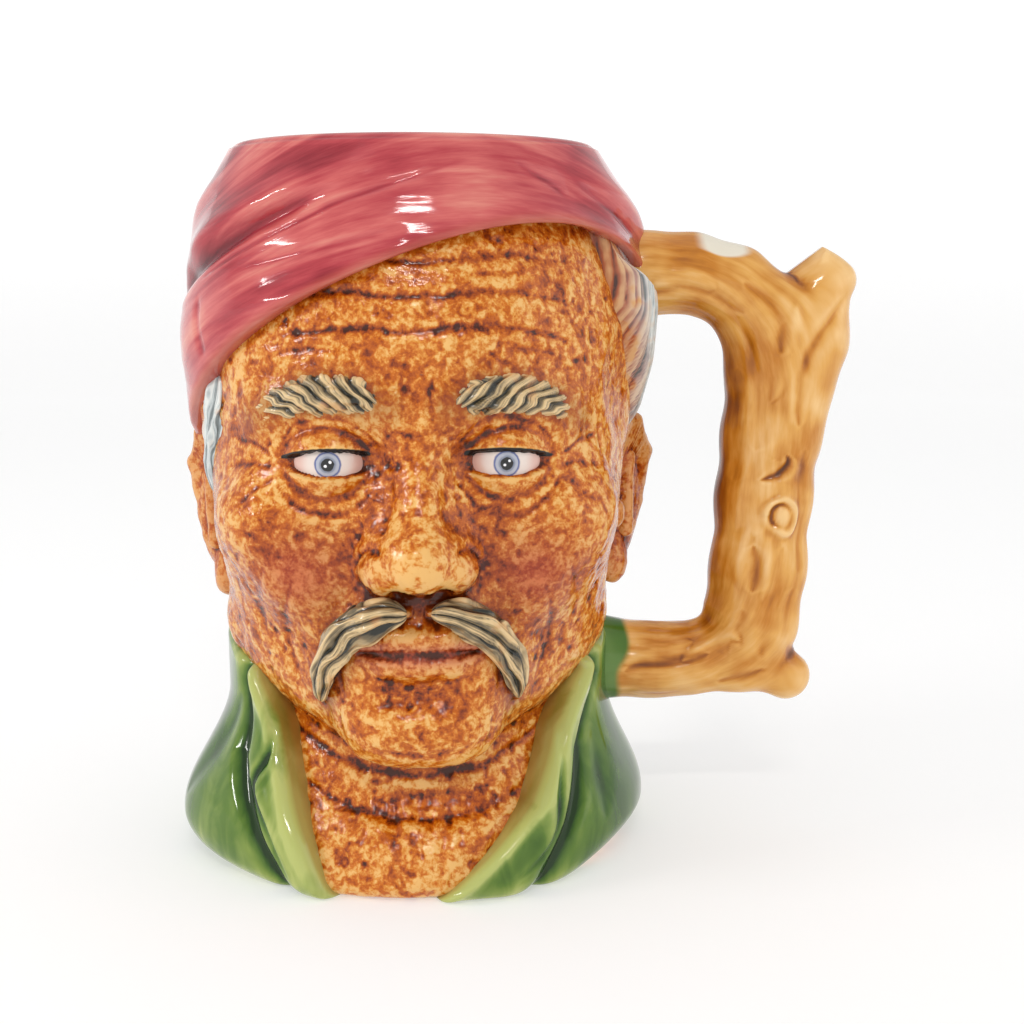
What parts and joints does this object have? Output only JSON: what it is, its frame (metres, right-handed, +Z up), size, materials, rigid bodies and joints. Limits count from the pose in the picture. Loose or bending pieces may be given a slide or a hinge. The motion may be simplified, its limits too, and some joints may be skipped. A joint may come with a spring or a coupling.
{
  "type": "figural mug",
  "caption": "Hollow glazed earthenware mug shaped as an old man's head in a draped cap and open collar, with a branch-shaped handle.",
  "frame": {"origin": "on the table, under the middle of the mug's outer box, handle included", "axes": "+Z up, -Y the way the face looks, +X towards the handle"},
  "size_m": [0.1634, 0.1252, 0.165],
  "materials": {
    "painted_glaze": "hand-painted colours under a clear glossy glaze"
  },
  "bodies": {
    "root": {"face_mug": "painted_glaze"}
  },
  "joints": []
}
